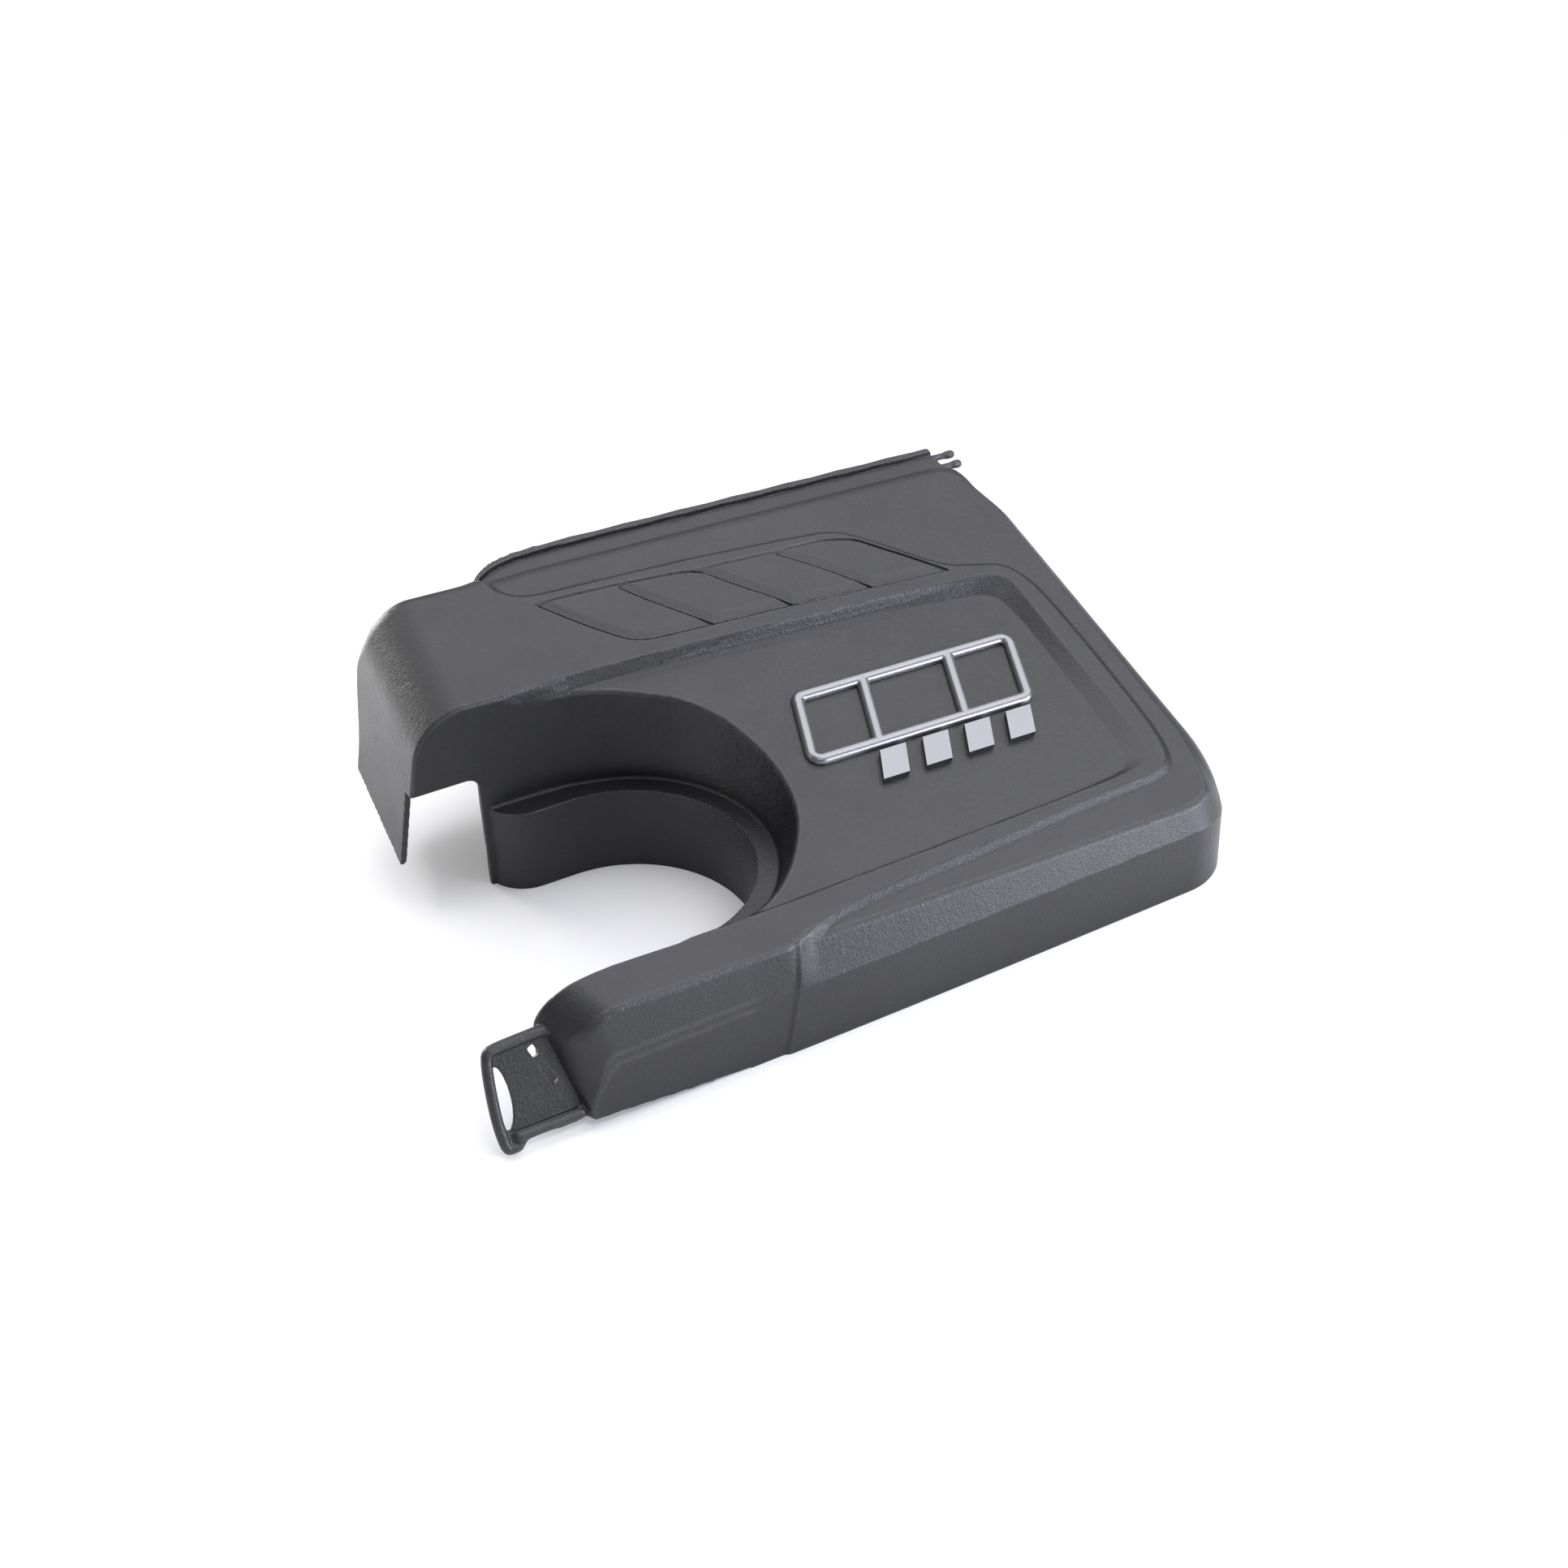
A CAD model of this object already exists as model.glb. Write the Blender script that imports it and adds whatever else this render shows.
import math

import bmesh
import bpy
import numpy as np
from mathutils import Matrix, Vector


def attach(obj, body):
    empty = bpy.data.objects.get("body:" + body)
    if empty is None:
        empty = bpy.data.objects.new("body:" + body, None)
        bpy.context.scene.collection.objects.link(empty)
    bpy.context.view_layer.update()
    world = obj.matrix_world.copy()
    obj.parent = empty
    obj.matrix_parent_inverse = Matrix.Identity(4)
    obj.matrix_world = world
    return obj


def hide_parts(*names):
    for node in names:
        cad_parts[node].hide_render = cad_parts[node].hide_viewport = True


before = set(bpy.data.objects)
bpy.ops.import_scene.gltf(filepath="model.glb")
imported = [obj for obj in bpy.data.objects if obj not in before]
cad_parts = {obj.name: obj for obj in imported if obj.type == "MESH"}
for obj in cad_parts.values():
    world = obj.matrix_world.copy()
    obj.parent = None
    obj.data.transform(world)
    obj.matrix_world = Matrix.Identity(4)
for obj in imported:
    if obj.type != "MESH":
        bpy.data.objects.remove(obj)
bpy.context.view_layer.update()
SHIFT = np.array([75.0, 27.95, 0.0])   # cut-out axis to the middle of the outline, mm
MM = 0.001                             # metres in a millimetre
FINE = 0.8      # grid of the smooth shell, mm
BADGE_FINE = 0.36
SHELL_TRIANGLES = 165000               # before the grooves are carved
BADGE_TRIANGLES = 60000
GROOVE_STEP = 0.42                     # longest edge left along a groove, mm
NORMAL_STEP = 0.08                     # reach of the measured normals, mm
WEAR_STEP, WEAR_RANGE = 0.6, (0.10, 0.55)   # reach, and the bends rubbed least and most

# ---- sizes, planes and outlines: mm from the cut-out axis ----------------------
WALL = 2.6                 # thickness of the moulding
TILT_X = 0.03              # fall of the whole top to the right
FIELD_Z, FIELD_Y = 67.4, 0.269      # sunk name field: height at the axis, slope
BORDER_Z, BORDER_Y = 70.7, 0.298    # border round it
TERRACE_DROP = 2.5         # outer terrace below the border
CUT_R = 51.6               # round cut-out below its step
STEP_R = 60.5              # the step's outer edge
STEP_Z = 38.5              # the step's height
END_X, END_Y, END_R = -15, 69.4, 17.8   # turned end of the cut-out's rear wall
BRIDGE_Y = 62.5            # front of the bridge
KINK_Z = 29                # where the front panel meets the band above it
PANEL_Y, BAND_Y = 88.2, 86.7        # front panel and band
RIGHT_X, REAR_Y = 244.9, 131        # right and rear walls
CORNER_R, REAR_R = 29.0, 18.0       # upright corners, front right and rear right
ARM_ROLL, FLAP_ROLL = 17.0, 20.0    # rolls at the arm's end and over the flap
EDGE_R = 1.6               # edge between the top and the cut-out
RIBS_X, RIB_HALF = (93, 141, 189), 1
RIB_DEPTH = 14             # ribs' lower edges below the name field
POST_R, BORE_R, BORE_DEPTH = 11.4, 9.1, 16
LEDGE_Y = 145              # rear edge of the ledge
TO_NORMAL = 0.955          # upright distance to distance square to the top

def plate(x, y):
    """height of the sunk name field"""
    return FIELD_Z - TILT_X * x + FIELD_Y * y

def border(x, y):
    """height of the border round it"""
    return BORDER_Z - TILT_X * x + BORDER_Y * y

# outlines in plan: top of the border, top and foot of the name field's wall
ISLE = [(-130, -130), (27, -130), (29, -94), (36, -81), (45, -74.3), (64, -70.3), (95, -68),
        (134, -65), (164, -62), (195, -60), (209, -59.3), (217, -57.5), (222, -52), (224, -38),
        (224, -18), (223, 16), (221, 44), (218, 54), (213, 61), (201, 64.2), (188, 68), (170, 86),
        (157, 98), (149, 101.3), (140, 102.3), (86, 106), (36, 107), (14, 107.3), (4, 110),
        (-3, 119), (-8, 160), (-130, 160)]
RTOP = [(-42, 52), (-25, 62), (-10, 63.4), (8, 64), (30, 64), (74, 63), (104, 62), (159, 60),
        (193, 58.8), (205, 57.4), (211, 54.5), (213, 48), (213.6, 20), (215, -6), (215.6, -27),
        (216, -45), (214, -51), (208, -54.5), (198, -56), (162, -57.5), (116, -59.5), (84, -61),
        (48, -62.5), (20, -63.5), (-42, -64)]
RBOT = [(-42, 48), (-25, 58), (-5, 60.6), (13, 61), (38, 61), (72, 60.5), (101, 59), (148, 56.5),
        (185, 53.8), (199, 51.5), (204.5, 46), (206, 27), (206, 0), (206, -28), (205.4, -44),
        (203, -50), (196, -53.2), (163, -55.8), (117, -58), (85, -59.2), (48, -61), (21, -61.8),
        (-42, -62)]

def arc(cx, cy, r, a0, a1, st=3):
    t = np.radians(np.linspace(a0, a1, int(abs(a1 - a0) / st) + 1))
    return [(cx + r * np.cos(q), cy + r * np.sin(q)) for q in t]

# the cut-out: below the step, at the step, at the top
LOW = ([(-135, -63.5), (-8, -63.5), (-4, -62.6), (-1.2, -60), (0, -56.5)]
       + arc(0, 0, CUT_R, -90, 90) + arc(END_X, END_Y, END_R, 270, 203)
       + [(-34, BRIDGE_Y), (-135, BRIDGE_Y)])
LEDGE = ([(-135, -63.5), (-6, -63.5), (4, -60.3)]
         + [(STEP_R * np.cos(a), STEP_R * np.sin(a)) for a in np.radians(np.arange(-80, 82, 6))]
         + [(4, 61.4), (-6, 62), (-16, 62.4), (-24, BRIDGE_Y), (-135, BRIDGE_Y)])
RIM = [(-135, -66), (-60, -65.5), (-52, -65), (-40, -63.6), (-20, -63), (-7, -62.4), (10, -62.2),
       (22, -61.4), (31, -58.6), (40, -53.4), (48.5, -46), (55, -38), (60.7, -30), (65, -19),
       (66.6, -8), (66, 4), (64.3, 12), (60.5, 24), (56, 32), (51, 38.6), (45, 44.3), (39, 48),
       (31, 52.3), (23, 56), (14, 59), (5, 61), (-5, 62), (-14, 62.4), (-22, 62.5), (-135, 62.5)]

# the four-panel strip: its grooves, each panel's left and front sides, the outline
GROOVES = [
    [(12, 103), (34, 103), (63, 101.3), (85, 99.3), (94, 89), (110, 74), (114, 69)],
    [(12, 103), (26, 87), (37, 76.5), (41, 73.6), (46, 71.8), (52, 71), (77, 70.2)],
    [(85, 99.3), (103, 98.8), (120, 98), (138, 98), (146, 97.2), (154, 95), (159, 93),
     (165, 87), (175, 78), (188, 65.2)],
    [(49, 100.6), (56, 92), (77, 70.6)],
    [(120, 98), (135, 85), (151, 68)],
    [(77, 70.2), (81, 70), (114, 69)],
    [(114, 69), (118, 68), (151, 67)],
    [(151, 67), (155, 66.5), (188, 65.2)],
]
PANELS = [GROOVES[1], GROOVES[3] + [(81, 70), (114, 69)],
          [(85, 99.3), (94, 89), (110, 74), (114, 69), (118, 68), (151, 67)],
          [(120, 98), (135, 85), (151, 68), (155, 66.5), (188, 65.2)]]
STRIP = [(12, 103), (26, 87), (37, 76.5), (41, 73.6), (46, 71.8), (52, 71), (77, 70.2), (114, 69),
         (151, 67), (188, 65.2), (175, 78), (165, 87), (159, 93), (154, 95), (146, 97.2),
         (138, 98), (120, 98), (85, 99.3), (63, 101.3), (34, 103)]

# ---- measuring tools -------------------------------------------------------------
FAR = 1e9

def chaikin(p, n=3, closed=True):
    """cuts the corners of an outline n times"""
    p = np.array(p, float)
    for _ in range(n):
        q = np.roll(p, -1, 0) if closed else p[1:]
        a = p if closed else p[:-1]
        m = np.stack([a * 0.75 + q * 0.25, a * 0.25 + q * 0.75], 1).reshape(-1, 2)
        p = m if closed else np.vstack([p[:1], m, p[-1:]])
    return p

def seg_d2(X, Y, a, b):
    """squared distance to the segment from a to b"""
    dx, dy = b[0] - a[0], b[1] - a[1]
    L = dx * dx + dy * dy + 1e-12
    t = np.clip(((X - a[0]) * dx + (Y - a[1]) * dy) / L, 0, 1)
    return (X - a[0] - t * dx) ** 2 + (Y - a[1] - t * dy) ** 2

def poly_sd(X, Y, p):
    """distance to a closed outline, positive inside"""
    d = np.full(X.shape, FAR, np.float32)
    ins = np.zeros(X.shape, bool)
    for i in range(len(p)):
        a, b = p[i], p[(i + 1) % len(p)]
        d = np.minimum(d, seg_d2(X, Y, a, b))
        if a[1] != b[1]:
            crossing = (b[0] - a[0]) * (Y - a[1]) / (b[1] - a[1]) + a[0]
            ins ^= ((a[1] > Y) != (b[1] > Y)) & (X < crossing)
    d = np.sqrt(d)
    return np.where(ins, d, -d).astype(np.float32)

def line_d(X, Y, lines):
    """distance to the nearest of some open lines"""
    d = np.full(X.shape, FAR, np.float32)
    for l in lines:
        for a, b in zip(l[:-1], l[1:]):
            d = np.minimum(d, seg_d2(X, Y, a, b))
    return np.sqrt(d).astype(np.float32)

def S(t):
    """smooth step from 0 to 1"""
    t = np.clip(t, 0, 1)
    return t * t * (3 - 2 * t)

def rint(a, b, r):
    """what lies in both a and b, with a rounded edge of radius r"""
    return np.minimum(np.maximum(a, b), -r) + np.hypot(np.maximum(a + r, 0), np.maximum(b + r, 0))

def ramp01(s, e):
    """0 to 1 along s, straight but for rounded ends of length e"""
    s = np.clip(s, 0, 1)
    e = np.clip(e, 0.05, 0.5)
    k = 1 / (1 - e)
    return k * np.where(s < e, s * s / (2 * e),
                        np.where(s > 1 - e, 1 - e - (1 - s) ** 2 / (2 * e), s - e / 2))

def runi(a, b, r):
    """a and b together, with a fillet of radius r"""
    return np.maximum(np.minimum(a, b), r) - np.hypot(np.maximum(r - a, 0), np.maximum(r - b, 0))

# ---- the cover as a distance function: negative inside ---------------------------
def panel_side(X, Y, line):
    """distance past a panel's left and front sides"""
    far = [(line[-1][0], 20), (400, 20), (400, 200), (line[0][0], 200)]
    return poly_sd(X, Y, np.array(line + far, float))

def fields(X, Y):
    """everything that depends on the plan only: the top's height H and its slope
    factor k, and distances to the cut-out's outlines lo, le and ri"""
    # the border, and round it the lower terrace
    H = border(X, Y) - TERRACE_DROP * (1 - S((poly_sd(X, Y, chaikin(ISLE, 2)) + 3.2) / 4.4))
    # the name field's wall falls from its top line to its foot
    start = 0.3
    t = poly_sd(X, Y, chaikin(RTOP, 2))
    b = poly_sd(X, Y, chaikin(RBOT, 2))
    wd = np.maximum(t - b + 0.6, 0.6)
    t = t + start
    plain = ramp01(t / wd, 1.3 / wd)
    # at the rear it is steep and ends in a shallow foot
    rear = S((Y - 40) / 12) * S((6.5 - wd) / 2.5)
    steep = 0.88 * ramp01(t / 2.4, 0.42) + 0.12 * S(t / (wd + 1.2))
    fall = plain * (1 - rear) + rear * steep
    H = H + (plate(X, Y) - H) * fall * (t > 0)
    # each strip panel falls away along its left and front sides
    drop, reach = 1.0, 5.8
    sd = [panel_side(X, Y, line) for line in PANELS]
    inn = np.minimum.reduce([np.where(q > 0, q, 99.0) for q in sd])
    inside = S(poly_sd(X, Y, np.array(STRIP, float)) / 0.9)
    H = H - drop * (1 - ramp01(inn / reach, 0.2)) * inside
    gx, gy = np.gradient(H, X[1, 0] - X[0, 0], Y[0, 1] - Y[0, 0])
    # the cut-out's lower wall is exact where it is round
    front = poly_sd(X, Y, np.array(LOW, float))
    end = np.minimum(np.hypot(X - END_X, Y - END_Y) - END_R, BRIDGE_Y - Y)
    rear = np.where(X > 0, CUT_R - np.hypot(X, Y), np.where(X > END_X, CUT_R - Y, end))
    return {'H': H.astype(np.float32), 'k': (1 / np.sqrt(1 + gx ** 2 + gy ** 2)).astype(np.float32),
            'lo': np.where(Y > 2, rear, front), 'le': poly_sd(X, Y, chaikin(LEDGE, 1)),
            'ri': poly_sd(X, Y, chaikin(RIM, 1))}

KEYS = ('H', 'lo', 'le', 'ri', 'k')
SOCKETS = [(88, -44, 16), (202, -46, 16), (16, 96, 44), (203, 96, 44)]

def body(x, y, z, F):
    """the outer form, without the cut-out"""
    H = F['H']
    top = (z - H) * F['k']
    # front panel and band: a small step at x 22, and a bow back to the right
    out = (0.9 * S((x - 22 - z * 0.2) / 3.0) - 1.1 * S((x + 60) / 85)
           - 4.2 * np.clip((x - 25) / 195, 0, 1.3) ** 1.3)
    fw = -(y + PANEL_Y + out - 0.0517 * np.minimum(z, KINK_Z))
    be = np.radians(74 - 13 * S((x - 27) / 14))
    ba = -(y + BAND_Y + out) * np.sin(be) + (z - KINK_Z) * np.cos(be)
    # right half: upright corners, then one roll all round, wider at the right and rear
    right = x - (RIGHT_X - 0.12 * np.maximum(z - KINK_Z, 0))
    rs = rint(rint(np.maximum(fw, ba), right, CORNER_R), y - REAR_Y, REAR_R)
    r = 1.3 + 7.9 * S((x - 226) / 10) * S((y + 86) / 30) + 10.5 * S((y - 90) / 24)
    fr = rint(rs, top, r)
    # arm: the end wall stands askew; the top rolls down it, the band turns into it
    arm = -(x + 58.5) * 0.891 - (y + 84) * 0.454
    r = 1.6 + 9.5 * S((47 - z) / 18) - 6 * S((22 - z) / 16)
    fa = rint(rint(ba, rint(top, arm, ARM_ROLL), r), fw, 0.8)
    # bridge: roof rolls into the leaning flap, then the rear edge
    wing = (-(x + 57.4) - (91 - z) * 0.171) * 0.986
    yr = 127 + 4 * S((x + 14) / 16) - 6 * S((-50 - x) / 8) * S((80 - z) / 35)
    fb = rint(rint(top, wing, FLAP_ROLL), y - yr, 2 + (yr - 120) * S((z - H + 30) / 16))
    # the two halves blend right of the cut-out axis
    fl = np.where(y < 0, fa, fb)
    t = S((x - 8) / 12)
    return fl * (1 - t) + fr * t

def void(x, y, z, F):
    """the stepped cut-out: straight below the step, opening to the rim above it"""
    s = np.clip((z - STEP_Z) / np.maximum(F['H'] - STEP_Z, 5), 0, 1.1)
    up = -(F['le'] * (1 - s) + F['ri'] * s)
    up = rint(up, STEP_Z - z, 1.2)
    return np.minimum(-F['lo'], up)

def hose_loop(U, V, W):
    """the loop on the arm's end, in its own frame: left, up the plate, out of it"""
    o = -poly_sd(U, V, LOOP_O)
    i = poly_sd(U, V, LOOP_I)
    k = -poly_sd(U, V, LOOP_R)
    thick, sunk = 3.0, 2.0
    pl = rint(o, np.abs(W - thick / 2) - thick / 2, 1.1)
    pl = np.maximum(pl, -np.maximum(k, sunk - W))
    pl = rint(pl, i, 0.6)
    # round rim along the top and the left, inside the outline by its own radius
    rim_r = 2.0
    rim = np.maximum(np.hypot(o + rim_r, W - 2.1) - rim_r, np.minimum(U + 84.5, -9 - V))
    pl = runi(pl, rim, 0.5)
    # two slits beside the arm: middle and half length, along a slant
    for u0, v0, half in ((-71.6, -7.4, 2.3), (-68.1, -16.6, 5.0)):
        du, dv = U - u0, V - v0
        a1 = du * 0.934 + dv * 0.358
        b1 = -du * 0.358 + dv * 0.934
        pl = np.maximum(pl, -np.maximum(np.abs(a1) - 1.4, np.abs(b1) - half))
    # bead along the foot
    t = np.clip(U, -84.8, -60.5)
    bead = np.sqrt((U - t) ** 2 + (V + 35.4) ** 2 + (W - 2.5) ** 2) - 2.2
    return runi(pl, bead, 1.0)

def cover(x, y, z, F):
    """the whole moulding"""
    f = rint(body(x, y, z, F), -void(x, y, z, F), EDGE_R)
    sh = np.abs(f + WALL / 2) - WALL / 2
    # ribs and posts, under the top only
    rib = np.minimum.reduce([np.abs(x - rx) - RIB_HALF for rx in RIBS_X])
    rib = np.minimum(rib, np.where(x > 70, np.abs(y + 23) - RIB_HALF, 9.0))
    rib = np.minimum(rib, np.where(x > 60, np.abs(y - 31) - RIB_HALF, 9.0))
    rib = np.minimum(rib, np.abs(y - 85) - RIB_HALF)
    rib = np.maximum(rib, plate(x, y) - RIB_DEPTH - z)
    for sx, sy, sz in SOCKETS:
        q = np.hypot(x - sx, y - sy)
        bore = np.maximum(q - BORE_R, z - (sz + BORE_DEPTH))
        post = np.maximum(np.maximum(q - POST_R, sz + 2 - z), -bore)
        rib = np.maximum(np.minimum(rib, post), -bore)
    sh = np.minimum(sh, np.maximum(rib, f + 1.0))
    # rear ledge with its hanging lip, drawn in at the left end
    Q = border(x, y)
    ye = LEDGE_Y - 10.5 * np.exp(-np.maximum(x + 2, -4) / 9.5)
    le = np.maximum(np.maximum(y - ye, 127 - y), x - 227 - (LEDGE_Y - y) * 0.3)
    le = np.maximum(le, -(x + 3.5))
    pl = np.abs((z - (Q - 13 - WALL / 2)) * TO_NORMAL) - WALL / 2
    lip = np.maximum(np.abs(y - ye + WALL / 2) - WALL / 2,
                     np.abs((z - (Q - 18)) * TO_NORMAL) - 6.8)
    led = np.maximum(np.maximum(np.minimum(pl, lip), le), -(f + 0.5))
    sh = runi(sh, led, 1.5)
    # fork clip: two prongs that thicken to their ends
    for side in (-1, 1):
        ax, ay = 226.0, 139.4 + side * 3.2
        az = border(ax, ay) - 15.1
        dx = x - ax
        t = np.clip(dx, 0, 12.5)
        q = np.sqrt((dx - t) ** 2 + (y - ay) ** 2 + (z - az + 0.03 * t) ** 2)
        sh = np.minimum(sh, q - (1.5 + 0.45 * S((t - 8) / 3)))
    near = (x < -44) & (y < -55)
    if near.any():
        co, si = np.cos(np.radians(64)), np.sin(np.radians(64))
        yy, zz = y[near] + 66, z[near] - 38
        loop = hose_loop(x[near], yy * co + zz * si, -yy * si + zz * co)
        g = sh[near]
        sh = sh.copy()
        sh[near] = runi(g, np.maximum(loop, -(f[near] + 1.3)), 0.8)
    # lower edges: the turned end's rear, the arm's foot, the rear wall and the flap
    for cut in ([x + 34, 66 - y, (z - 19.7 - 0.2965 * (y - 65.3)) * 0.96],
                [x - 8, y + 60, -71 - x, z - 0.6 - 4.4 * S((8 - x) / 72)],
                [67 - y, -54 - x, (z - (y - 67) * 0.75) * 0.8]):
        sh = np.maximum(sh, -np.maximum.reduce(cut))
    # the bridge's notch
    cut = rint(x + 33.3 + z * 0.024, z - 55.3, 5.0)
    cut = rint(cut, np.abs(y - 61.5) - 6.5, 0.3)
    sh = np.maximum(sh, -cut)
    return np.maximum(sh, -z)

# the hose loop's outline, its sunk face and its hole
LOOP_O = chaikin([(-90.9, -3.4), (-89.6, -1), (-87, 0.4), (-75, 0.8), (-60, 1.2), (-50, -10),
                  (-52, -37.4), (-62.6, -37.4), (-62.9, -40.6), (-64.2, -41.8), (-66.4, -41.8),
                  (-68, -40.8), (-70.4, -37.3), (-80.4, -37.3), (-82.4, -38.4), (-84.6, -41),
                  (-90, -41.2), (-91.8, -39.6), (-92.6, -36), (-93.1, -29), (-92.8, -20),
                  (-92, -10)], 2)
LOOP_R = chaikin([(-87.2, -3.8), (-84, -3.6), (-66, -3.2), (-50, -3.2), (-50, -33.4),
                  (-85.6, -33.6), (-88.4, -32), (-89.3, -27), (-88.9, -18), (-88, -8)], 2)
LOOP_I = chaikin([(-87.9, -8), (-86.3, -8.2), (-84.9, -11), (-84, -15.5), (-83.7, -21),
                  (-84.3, -27), (-85.9, -31.6), (-88, -33), (-89.1, -31), (-89.3, -26),
                  (-88.9, -16)], 2)

# ---- from the function to a mesh --------------------------------------------------
def nets(field, lo, hi, h, slack=1.2):
    """surface nets over a field on a grid of step h, sampled only in the blocks of
    B cells near its surface, each point then moved onto it"""
    B = 8
    lo = np.array(lo, float)
    n = np.ceil((np.array(hi) - lo) / h / B).astype(int) * B
    nx, ny, nz = n
    bi = np.stack(np.meshgrid(*[np.arange(m // B) for m in n], indexing='ij'), -1).reshape(-1, 3)
    fc = field(lo + h * (bi * B + B / 2))
    keep = np.abs(fc) < h * B * 0.87 * slack + 0.4
    V = np.where(fc > 0, 1000.0, -1000.0).astype(np.float32).reshape(nx // B, ny // B, nz // B)
    V = np.repeat(np.repeat(np.repeat(V, B, 0), B, 1), B, 2)
    off = np.stack(np.meshgrid(*[np.arange(B)] * 3, indexing='ij'), -1).reshape(-1, 3)
    kb = bi[keep]
    for s in range(0, len(kb), 4000):
        ix = (kb[s:s + 4000, None] * B + off).reshape(-1, 3)
        V[ix[:, 0], ix[:, 1], ix[:, 2]] = field(lo + h * ix)
    neg = V < 0
    cnt = np.zeros((nx - 1, ny - 1, nz - 1), np.int8)
    cor = [(a, b, e) for a in (0, 1) for b in (0, 1) for e in (0, 1)]
    for a, b, e in cor:
        cnt += neg[a:nx - 1 + a, b:ny - 1 + b, e:nz - 1 + e]
    act = (cnt > 0) & (cnt < 8)
    idx = -np.ones(act.shape, np.int32)
    cells = np.argwhere(act)
    idx[act] = np.arange(len(cells))
    P = np.zeros((len(cells), 3))
    N = np.zeros(len(cells))
    val = {k: V[cells[:, 0] + k[0], cells[:, 1] + k[1], cells[:, 2] + k[2]] for k in cor}
    for k in cor:
        for ax in range(3):
            if k[ax] == 0:
                k2 = list(k)
                k2[ax] = 1
                k2 = tuple(k2)
                v0, v1 = val[k], val[k2]
                m = (v0 < 0) != (v1 < 0)
                t = v0[m] / (v0[m] - v1[m])
                P[m] += np.array(k, float) + t[:, None] * (np.array(k2) - np.array(k))
                N[m] += 1
    P = lo + h * (cells + P / N[:, None])
    quads = []
    for ax in range(3):
        s0 = [slice(None)] * 3
        s1 = [slice(None)] * 3
        s0[ax] = slice(0, -1)
        s1[ax] = slice(1, None)
        a, b = neg[tuple(s0)], neg[tuple(s1)]
        e = np.argwhere(a != b)
        o1, o2 = [q for q in range(3) if q != ax]
        e = e[(e[:, o1] > 0) & (e[:, o2] > 0) & (e[:, o1] < n[o1] - 1) & (e[:, o2] < n[o2] - 1)]
        inside = neg[tuple(e.T)]
        def cell(d1, d2):
            q = e.copy()
            q[:, o1] -= d1
            q[:, o2] -= d2
            return idx[tuple(q.T)]
        Q = np.stack([cell(1, 1), cell(0, 1), cell(0, 0), cell(1, 0)], 1)
        flip = inside if ax != 1 else ~inside
        Q[~flip] = Q[~flip][:, ::-1]
        quads.append(Q)
    Q = np.vstack(quads)
    for _ in range(2):
        g = grad(field, P, h * 0.25)
        v = field(P)
        gg = (g ** 2).sum(1)
        st = (v / np.maximum(gg, 0.3))[:, None] * g
        L = np.linalg.norm(st, axis=1, keepdims=True)
        P -= st * np.minimum(1, 0.35 * h / np.maximum(L, 1e-9))
    return P, Q

def grad(field, p, e):
    """gradient from four points round each point"""
    g = np.zeros_like(p)
    for k in ((1, -1, -1), (-1, -1, 1), (-1, 1, -1), (1, 1, 1)):
        k = np.array(k, float)
        g += field(p + e * k)[:, None] * k
    return g / (4 * e)

def cover_field(h=0.5):
    """the cover as one function of points, with its plan fields on a grid"""
    lo = np.array((-100.0, -97.0))
    nx, ny = int(352 / h), int(252 / h)
    X, Y = np.meshgrid(lo[0] + h * np.arange(nx), lo[1] + h * np.arange(ny), indexing='ij')
    FF = fields(X, Y)
    G = np.stack([FF[k] for k in KEYS], -1).astype(np.float32)
    def at(p):
        """the plan fields at some points"""
        fx = np.clip((p[:, 0] - lo[0]) / h, 0, nx - 1.001)
        fy = np.clip((p[:, 1] - lo[1]) / h, 0, ny - 1.001)
        i, j = fx.astype(int), fy.astype(int)
        a, b = (fx - i)[:, None], (fy - j)[:, None]
        return ((G[i, j] * (1 - a) + G[i + 1, j] * a) * (1 - b)
                + (G[i, j + 1] * (1 - a) + G[i + 1, j + 1] * a) * b)

    def field(p):
        v = at(p)
        return cover(p[:, 0], p[:, 1], p[:, 2], {k: v[:, m] for m, k in enumerate(KEYS)})

    def height(p):
        return at(p)[:, 0]
    return field, height

BOX = ((-97, -93, -2), (248, 149, 112))     # what the mesh's grid covers
GROOVE_LINES = [chaikin(line, 2, False) for line in GROOVES]
GROOVE_DEPTH = 0.95

def groove(g):
    """the grooves' depth at a distance g from their middle"""
    return GROOVE_DEPTH * S((0.85 - g) / 0.5)

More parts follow.
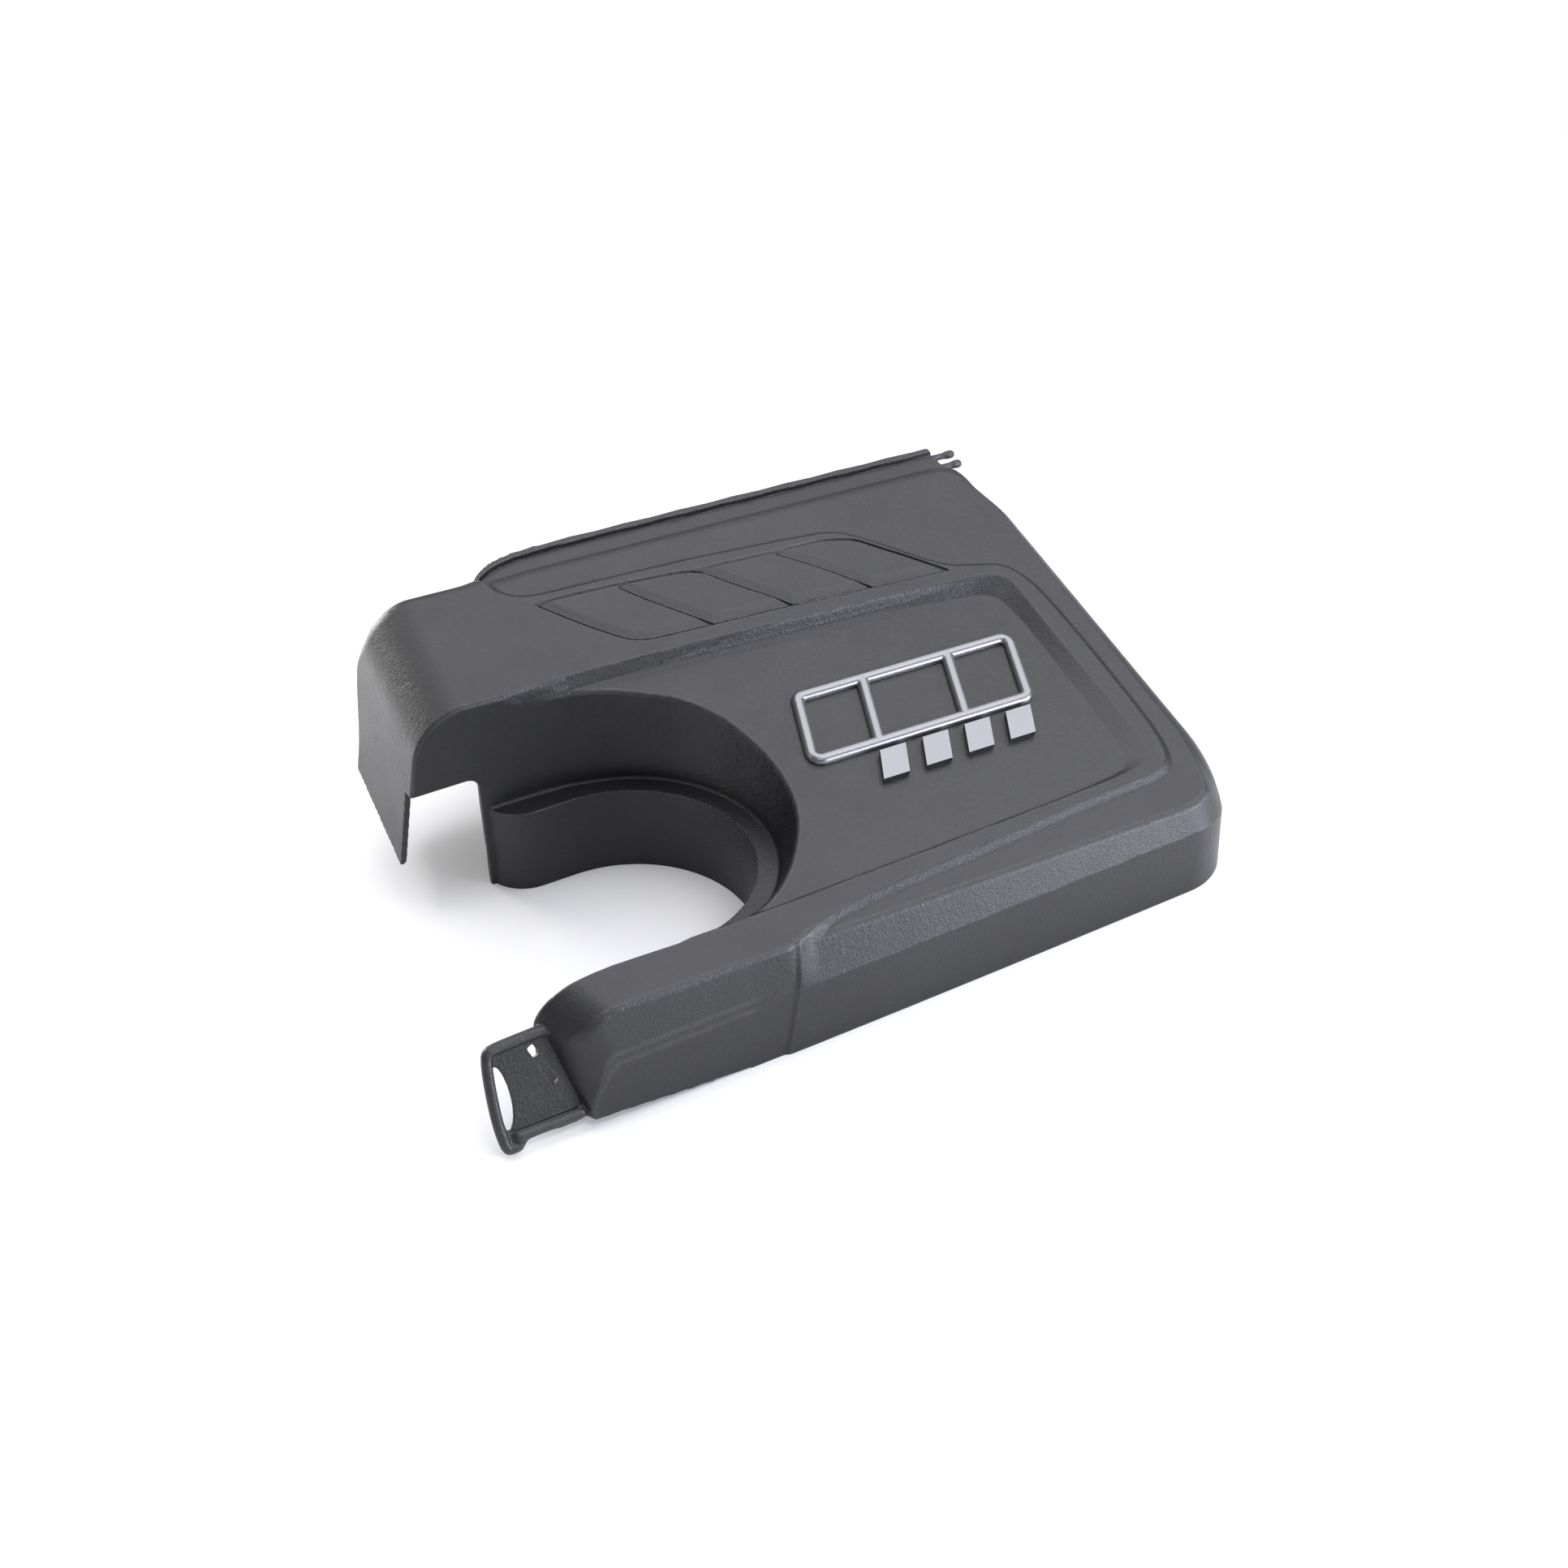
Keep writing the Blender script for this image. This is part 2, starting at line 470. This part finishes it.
# ---- light: the world's strength and the lamps, in metres and watts ---------------
WORLD = 0.34
LAMPS = [
    # name, place, aimed at, width, height, power, spread, colour
    ("top", (0.42, 0.42, 1.48), (0.0, 0.0, 0.05), 1.8, 1.8, 30, 180, (0.93, 0.93, 1.0)),
    ("left", (-1.03, 0.05, 1.0), (-0.1, -0.05, 0.04), 0.35, 0.35, 1.6, 180, (0.93, 0.93, 1.0)),
    ("right_top", (0.83, -0.39, 1.31), (0.05, 0.0, 0.05), 0.9, 0.7, 4, 180, (0.88, 0.9, 1.0)),
    ("front_right", (1.16, -1.12, 0.48), (0.08, -0.05, 0.04), 1.1, 0.6, 34, 180, (0.86, 0.88, 1.0)),
    ("right", (1.42, 0.05, 0.93), (0.1, 0.0, 0.05), 0.7, 0.5, 3, 180, (0.93, 0.93, 1.0)),
    ("rear_low", (-0.65, 1.53, 0.36), (-0.1, 0.1, 0.05), 0.6, 0.4, 23, 180, (1.0, 0.99, 0.97)),
    ("floor_rear_left", (-0.72, 0.62, 0.9), (-0.66, 0.56, 0), 0.6, 0.6, 13, 66, (1.0, 0.99, 0.97)),
    ("floor_front", (0.15, -0.62, 0.8), (0.15, -0.62, 0.0), 0.8, 0.3, 6, 75, (1.0, 1.0, 1.0)),
]

# ---- materials -------------------------------------------------------------
def new_mat(name):
    """a material, its tree, nodes and links, and its shader"""
    m = bpy.data.materials.new(name)
    m.use_nodes = True
    nt = m.node_tree
    return m, nt, nt.nodes, nt.links, nt.nodes["Principled BSDF"]

def noise(nt, coord, scale, detail=4.0, rough=0.55):
    n = nt.nodes.new("ShaderNodeTexNoise")
    n.inputs["Scale"].default_value = scale
    n.inputs["Detail"].default_value = detail
    n.inputs["Roughness"].default_value = rough
    nt.links.new(coord, n.inputs["Vector"])
    return n.outputs["Fac"]

def ramp(nt, fac, a, b, ca, cb):
    """carries a..b over to ca..cb"""
    r = nt.nodes.new("ShaderNodeMapRange")
    r.inputs[1].default_value, r.inputs[2].default_value = a, b
    r.inputs[3].default_value, r.inputs[4].default_value = ca, cb
    nt.links.new(fac, r.inputs[0])
    return r.outputs[0]

def mix(nt, fac, a, b):
    """mixes two colours, each a tuple or a socket"""
    n = nt.nodes.new("ShaderNodeMix")
    n.data_type = "RGBA"
    for s, v in ((6, a), (7, b)):
        if isinstance(v, (tuple, list)):
            n.inputs[s].default_value = (*v, 1)
        else:
            nt.links.new(v, n.inputs[s])
    nt.links.new(fac, n.inputs[0])
    return n.outputs[2]

def math_node(nt, op, a, b):
    """one sum of two values, each a number or a socket"""
    n = nt.nodes.new("ShaderNodeMath")
    n.operation = op
    for s, v in ((0, a), (1, b)):
        if isinstance(v, (int, float)):
            n.inputs[s].default_value = v
        else:
            nt.links.new(v, n.inputs[s])
    return n.outputs[0]

def attribute(nt, name):
    n = nt.nodes.new("ShaderNodeAttribute")
    n.attribute_name = name
    return n.outputs["Fac"]

def bump(nt, height, strength, depth, bsdf):
    b = nt.nodes.new("ShaderNodeBump")
    b.inputs["Strength"].default_value = strength
    b.inputs["Distance"].default_value = depth
    nt.links.new(height, b.inputs["Height"])
    nt.links.new(b.outputs["Normal"], bsdf.inputs["Normal"])

def plastic(name, dark, light, rough, grain, depth, wear, spec):
    """moulded plastic or rubber: cloudy colour, two sizes of grain, rubbed edges"""
    m, nt, nodes, links, bsdf = new_mat(name)
    co = nodes.new("ShaderNodeTexCoord").outputs["Object"]
    cloud = noise(nt, co, 14.0, 3.0)
    fine = noise(nt, co, grain, 2.0, 0.7)
    coarse = noise(nt, co, grain * 0.36, 3.0, 0.6)
    col = mix(nt, ramp(nt, cloud, 0.35, 0.65, 0.0, 1.0), dark, light)
    edge = ramp(nt, attribute(nt, "worn"), 0.0, 1.0, 0.0, wear)
    edge = math_node(nt, "MULTIPLY", edge, ramp(nt, coarse, 0.3, 0.7, 0.4, 1.0))
    col = mix(nt, edge, col, tuple(min(1, c * 3.2 + 0.01) for c in light))
    links.new(col, bsdf.inputs["Base Color"])
    r = ramp(nt, noise(nt, co, 55.0, 4.0), 0.3, 0.7, rough - 0.035, rough + 0.035)
    r = math_node(nt, "SUBTRACT", r, math_node(nt, "MULTIPLY", edge, 0.12))
    links.new(r, bsdf.inputs["Roughness"])
    h = math_node(nt, "ADD", fine, math_node(nt, "MULTIPLY", coarse, 0.8))
    bump(nt, h, 1.0, depth, bsdf)
    bsdf.inputs["Specular IOR Level"].default_value = spec
    return m

black = plastic("moulded_black", dark=(0.0105, 0.0105, 0.0115), light=(0.0135, 0.0135, 0.0145),
                rough=0.38, grain=1400.0, depth=0.0002, wear=0.5, spec=0.43)
rubber = plastic("socket_rubber", dark=(0.010, 0.010, 0.010), light=(0.016, 0.016, 0.015),
                 rough=0.72, grain=900.0, depth=0.00006, wear=0.15, spec=0.4)

def silver(name, split):
    """satin silver; where split, only on faces that look up, the sides black"""
    m, nt, nodes, links, bsdf = new_mat(name)
    co = nodes.new("ShaderNodeTexCoord").outputs["Object"]
    cloud = noise(nt, co, 60.0, 3.0)
    grain = noise(nt, co, 3200.0, 2.0, 0.7)
    col = mix(nt, cloud, (0.19, 0.19, 0.197), (0.225, 0.225, 0.232))
    met = 0.85
    if split:
        sep = nodes.new("ShaderNodeSeparateXYZ")
        links.new(nodes.new("ShaderNodeNewGeometry").outputs["Normal"], sep.inputs[0])
        top = ramp(nt, sep.outputs[2], 0.80, 0.92, 0.0, 1.0)
        col = mix(nt, top, (0.014, 0.014, 0.015), col)
        links.new(math_node(nt, "MULTIPLY", top, met), bsdf.inputs["Metallic"])
    else:
        bsdf.inputs["Metallic"].default_value = met
    links.new(col, bsdf.inputs["Base Color"])
    links.new(ramp(nt, cloud, 0.3, 0.7, 0.27, 0.33), bsdf.inputs["Roughness"])
    bump(nt, grain, 0.6, 0.00002, bsdf)
    return m

# ---- the smooth shell stands for the cover ---------------------------------
def to_mesh(name, P, Q):
    """an object from points in millimetres and faces"""
    me = bpy.data.meshes.new(name)
    me.vertices.add(len(P))
    me.vertices.foreach_set("co", ((P - SHIFT) * MM).astype(np.float32).ravel())
    me.loops.add(Q.size)
    me.loops.foreach_set("vertex_index", Q.astype(np.int32).ravel())
    me.polygons.add(len(Q))
    me.polygons.foreach_set("loop_start", np.arange(0, Q.size, Q.shape[1], dtype=np.int32))
    me.update(calc_edges=True)
    me.validate()
    ob = bpy.data.objects.new(name, me)
    bpy.context.scene.collection.objects.link(ob)
    return ob

def thin_out(ob, target):
    """fewer triangles where the surface is flat"""
    me = ob.data
    d = ob.modifiers.new("light", "DECIMATE")
    d.decimate_type = "COLLAPSE"
    d.ratio = min(1.0, target / (2 * len(me.polygons)))
    dg = bpy.context.evaluated_depsgraph_get()
    low = bpy.data.meshes.new_from_object(ob.evaluated_get(dg), depsgraph=dg)
    ob.modifiers.clear()
    ob.data = low
    bpy.data.meshes.remove(me)
    low.name = ob.name

def read(items, key, width, kind=np.float32):
    """one property of many mesh items, as rows"""
    out = np.empty(len(items) * width, kind)
    items.foreach_get(key, out)
    return out.reshape(-1, width) if width > 1 else out

def in_mm(co):
    return co.astype(float) * 1000 + SHIFT

INSET = 0.35   # how far inside its face a corner is measured, of the way to the middle
STEEP = 0.3    # a turn of the normal that is an edge, not a roll
SMALL = 1.2    # faces up to this reach, mm, need no correction

def corners(me):
    """each face corner's vertex and face, the vertices, and the middles of the faces"""
    vi = read(me.loops, "vertex_index", 1, np.int32)
    face = np.repeat(np.arange(len(me.polygons)), read(me.polygons, "loop_total", 1, np.int32))
    return (vi, face, in_mm(read(me.vertices, "co", 3)),
            in_mm(read(me.polygons, "center", 3)))

def true_normals(me, field, eps):
    """corner normals from the surface itself, carried out from inside each face,
    so that a long flat face doesn't take on the roll at one of its corners"""
    def unit(p):
        g = grad(field, p, eps)
        return g / np.maximum(np.linalg.norm(g, axis=1, keepdims=True), 1e-9)
    vi, face, co, cen = corners(me)
    v, c = co[vi], cen[face]
    inner = unit(v * (1 - INSET) + c * INSET)
    turn = inner - unit(cen)[face]
    plain = (np.abs(turn).max(1) > STEEP) | (np.linalg.norm(v - c, axis=1) < SMALL)
    turn[plain] = 0.0
    g = inner + turn * INSET / (1 - INSET)
    g /= np.linalg.norm(g, axis=1, keepdims=True)
    # where the field's gradient strays from the face, the face's own normal stays
    nor = read(me.polygons, "normal", 3)[face].astype(float)
    bad = (g * nor).sum(1) < 0.6
    g[bad] = nor[bad]
    me.polygons.foreach_set("use_smooth", np.ones(len(me.polygons), bool))
    me.normals_split_custom_set(g.astype(np.float32))

def square_foot(field, P, reach):
    """points near the floor go onto it and out to the wall's face"""
    m = P[:, 2] < reach
    q = P[m].copy()
    q[:, 2] = 0.5
    v = field(q)
    near = np.abs(v) < 0.45
    for _ in range(3):
        g = grad(field, q[near], 0.12)
        g[:, 2] = 0
        v = field(q[near])
        q[near] -= (v / np.maximum((g ** 2).sum(1), 0.3))[:, None] * g
    q[:, 2] = 0.0
    P[m] = q

def wear_map(me, field, e, lo, hi):
    """how sharply the surface bends outward at each corner, for the rubbed edges"""
    def bend(p):
        b = -6 * field(p)
        for k in range(3):
            d = np.zeros(3)
            d[k] = e
            b += field(p + d) + field(p - d)
        return np.clip((b / e ** 2 - lo) / (hi - lo), 0, 1)
    vi, face, co, cen = corners(me)
    worn = np.minimum(bend(co)[vi], 2 * bend(cen)[face])
    layer = me.attributes.new("worn", "FLOAT", "CORNER")
    layer.data.foreach_set("value", worn.astype(np.float32))

STRIP_BOX = (8, 192, 62, 107)      # the strip's limits in x and y, with a margin

def on_strip(p, under):
    """which points lie over the strip, above a height"""
    x0, x1, y0, y1 = STRIP_BOX
    m = (p[:, 0] > x0) & (p[:, 0] < x1) & (p[:, 1] > y0) & (p[:, 1] < y1)
    m[m] = p[m, 2] > under(p[m])
    return m

def carve_grooves(me, step):
    """splits the faces along the strip's grooves down to a step, then presses them in"""
    def near(p):
        d = np.full(len(p), 99.0)
        m = on_strip(p, lambda q: border(q[:, 0], q[:, 1]) - 2.0)
        if m.any():
            d[m] = line_d(p[m, 0], p[m, 1], GROOVE_LINES)
        return d
    bm = bmesh.new()
    bm.from_mesh(me)
    for _ in range(7):     # each round halves the edges that are still too long
        es = list(bm.edges)
        a = in_mm(np.array([e.verts[0].co for e in es]))
        b = in_mm(np.array([e.verts[1].co for e in es]))
        L = np.linalg.norm(b - a, axis=1)
        d = np.minimum(near((a + b) / 2), np.minimum(near(a), near(b)))
        pick = np.nonzero((L > step) & (d < 1.1 + L * 0.5))[0]
        if not len(pick):
            break
        bmesh.ops.subdivide_edges(bm, edges=[es[i] for i in pick], cuts=1, use_grid_fill=False)
        bmesh.ops.triangulate(bm, faces=[f for f in bm.faces if len(f.verts) > 3])
    push = groove(near(in_mm(np.array([v.co for v in bm.verts]))))
    bm.verts.ensure_lookup_table()
    for i in np.nonzero(push > 1e-4)[0]:
        bm.verts[int(i)].co.z -= push[i] * MM
    bm.to_mesh(me)
    bm.free()

raw, height = cover_field()

def with_grooves(p):
    """the cover's function with the strip's grooves cut in"""
    f = raw(p)
    m = on_strip(p, lambda q: height(q) - 3)
    if m.any():
        g = groove(line_d(p[m, 0], p[m, 1], GROOVE_LINES))
        f[m] = np.maximum(f[m], (p[m, 2] - height(p[m]) + g) * TO_NORMAL)
    return f

spots, faces = nets(raw, *BOX, FINE)
square_foot(raw, spots, 0.6 * FINE)
shell = to_mesh("cover_shell", spots, faces)
thin_out(shell, SHELL_TRIANGLES)
carve_grooves(shell.data, GROOVE_STEP)
true_normals(shell.data, with_grooves, NORMAL_STEP)
wear_map(shell.data, with_grooves, WEAR_STEP, *WEAR_RANGE)
shell.data.materials.append(black)
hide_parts("cover")
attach(shell, "root")

# ---- the badge: a frame with a rounded section -------------------------------
BADGE_AT = (138.0, 11.0)       # its middle, over the name field
BADGE_IN = [(-51.5, -13), (43.5, -13), (51.5, 13), (-43.5, 13)]   # the bar's inner outline
BADGE_OFF = 3.6                # from there to the middle of the bar
BADGE_R, BADGE_POWER = 2.9, 2.1     # half width and height, how square the section is

def badge_field(p):
    """p in the badge's own frame: along, across, up"""
    u, v, w = p[:, 0], p[:, 1], p[:, 2]
    d = np.abs(poly_sd(u, v, np.array(BADGE_IN, float)) + BADGE_OFF)
    for x in (-20.6, 20.6):
        d = np.minimum(d, np.sqrt(seg_d2(u, v, (x - 5.1, -16.4), (x + 5.1, 16.4))))
    f = (d / BADGE_R) ** BADGE_POWER + (np.maximum(w, 0) / BADGE_R) ** BADGE_POWER
    return np.maximum((f ** (1 / BADGE_POWER) - 1) * 2.2, -w)

def badge_place(p):
    """from the badge's own frame to the cover's: square to the name field"""
    n = np.array([TILT_X, -FIELD_Y, 1.0])
    n /= np.linalg.norm(n)
    ex = np.array([1.0, 0.0, -TILT_X])
    ex /= np.linalg.norm(ex)
    ey = np.cross(n, ex)
    o = np.array([*BADGE_AT, plate(*BADGE_AT)])
    return o + p[:, :1] * ex + p[:, 1:2] * ey + p[:, 2:] * n

spots, faces = nets(badge_field, (-65, -23, -0.6), (65, 23, 3.2), BADGE_FINE, 1.6)
badge = to_mesh("badge_frame", badge_place(spots), faces)
thin_out(badge, BADGE_TRIANGLES)
badge.data.polygons.foreach_set("use_smooth", np.ones(len(badge.data.polygons), bool))
badge.data.materials.append(silver("satin_silver", False))
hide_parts("badge")
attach(badge, "root")

# ---- the bars and sockets are the CAD solids, their edges eased ----------------
def dress(name, mat, width):
    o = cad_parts[name]
    o.data.materials.clear()
    o.data.materials.append(mat)
    b = o.modifiers.new("edge", "BEVEL")
    b.width = width
    b.segments = 3
    b.limit_method = "ANGLE"
    b.angle_limit = math.radians(35)
    b.harden_normals = False

bar_mat = silver("silver_tops", True)
for i in range(1, 5):
    dress("bar_%d" % i, bar_mat, 0.25 * MM)
    dress("socket_%d" % i, rubber, 0.4 * MM)

# ---- floor, light, camera ----------------------------------------------------
bpy.ops.mesh.primitive_plane_add(size=9.0, location=(0, 0, -0.0002))
floor = bpy.context.object
floor.name = "floor"
m, nt, nodes, links, bsdf = new_mat("floor_white")
bsdf.inputs["Base Color"].default_value = (0.74, 0.74, 0.745, 1)
bsdf.inputs["Roughness"].default_value = 0.9
bsdf.inputs["Specular IOR Level"].default_value = 0.1
glow = nodes.new("ShaderNodeEmission")
glow.inputs[0].default_value = (1, 1, 1, 1)
glow.inputs[1].default_value = 1.0
seen = nodes.new("ShaderNodeLightPath").outputs["Is Camera Ray"]
mx = nodes.new("ShaderNodeMixShader")
# to the camera the floor is a little whiter near the part, and plain white far off
far = nodes.new("ShaderNodeVectorMath")
far.operation = "LENGTH"
links.new(nodes.new("ShaderNodeTexCoord").outputs["Object"], far.inputs[0])
white = nodes.new("ShaderNodeMapRange")
white.interpolation_type = "SMOOTHSTEP"
for key, val in (("From Min", 0.4), ("From Max", 0.9), ("To Min", 0.12), ("To Max", 1.0)):
    white.inputs[key].default_value = val
links.new(far.outputs["Value"], white.inputs["Value"])
links.new(math_node(nt, "MULTIPLY", seen, white.outputs["Result"]), mx.inputs[0])
links.new(bsdf.outputs[0], mx.inputs[1])
links.new(glow.outputs[0], mx.inputs[2])
links.new(mx.outputs[0], nodes["Material Output"].inputs["Surface"])
floor.data.materials.append(m)

# the world: soft light, and white to the camera and through glass
w = bpy.data.worlds.new("studio")
bpy.context.scene.world = w
w.use_nodes = True
nt = w.node_tree
soft = nt.nodes["Background"]
soft.inputs[0].default_value = (0.97, 0.985, 1.0, 1)
soft.inputs[1].default_value = WORLD
plain = nt.nodes.new("ShaderNodeBackground")
plain.inputs[0].default_value = (1, 1, 1, 1)
plain.inputs[1].default_value = 1.0
lp = nt.nodes.new("ShaderNodeLightPath").outputs
mx = nt.nodes.new("ShaderNodeMixShader")
direct = math_node(nt, "MAXIMUM", lp["Is Camera Ray"], lp["Is Transmission Ray"])
nt.links.new(direct, mx.inputs[0])
nt.links.new(soft.outputs[0], mx.inputs[1])
nt.links.new(plain.outputs[0], mx.inputs[2])
nt.links.new(mx.outputs[0], nt.nodes["World Output"].inputs["Surface"])

def area(name, loc, target, size, size_y, power, spread, color):
    l = bpy.data.lights.new(name, "AREA")
    l.shape = "RECTANGLE"
    l.size, l.size_y, l.energy, l.color = size, size_y, power, color
    l.spread = math.radians(spread)
    o = bpy.data.objects.new(name, l)
    bpy.context.scene.collection.objects.link(o)
    o.location = loc
    o.rotation_euler = (Vector(target) - Vector(loc)).to_track_quat("-Z", "Y").to_euler()
    o.visible_camera = False

for lamp in LAMPS:
    area(*lamp)

# the photograph's camera, as solved from it
FOCAL_PX, FRAME_PX = 2804.28, 1932
AZIMUTH, ELEVATION, ROLL = math.radians(28.69), math.radians(36.42), math.radians(-0.59)
EYE = (-0.3555, -0.67025, 0.5941)
ahead = np.array([math.sin(AZIMUTH) * math.cos(ELEVATION),
                  math.cos(AZIMUTH) * math.cos(ELEVATION), -math.sin(ELEVATION)])
level = np.array([math.cos(AZIMUTH), -math.sin(AZIMUTH), 0.0])
down = np.cross(ahead, level)
right = math.cos(ROLL) * level - math.sin(ROLL) * down
down = math.sin(ROLL) * level + math.cos(ROLL) * down
cam = bpy.data.cameras.new("camera")
cam.sensor_fit = "HORIZONTAL"
cam.sensor_width = 36.0
cam.lens = FOCAL_PX / FRAME_PX * cam.sensor_width
cam.clip_start = 0.05
view = bpy.data.objects.new("camera", cam)
bpy.context.scene.collection.objects.link(view)
M = Matrix.Identity(4)
for i in range(3):
    M[i][0], M[i][1], M[i][2], M[i][3] = right[i], -down[i], -ahead[i], EYE[i]
view.matrix_world = M
bpy.context.scene.camera = view
bpy.context.scene.view_settings.view_transform = "Standard"
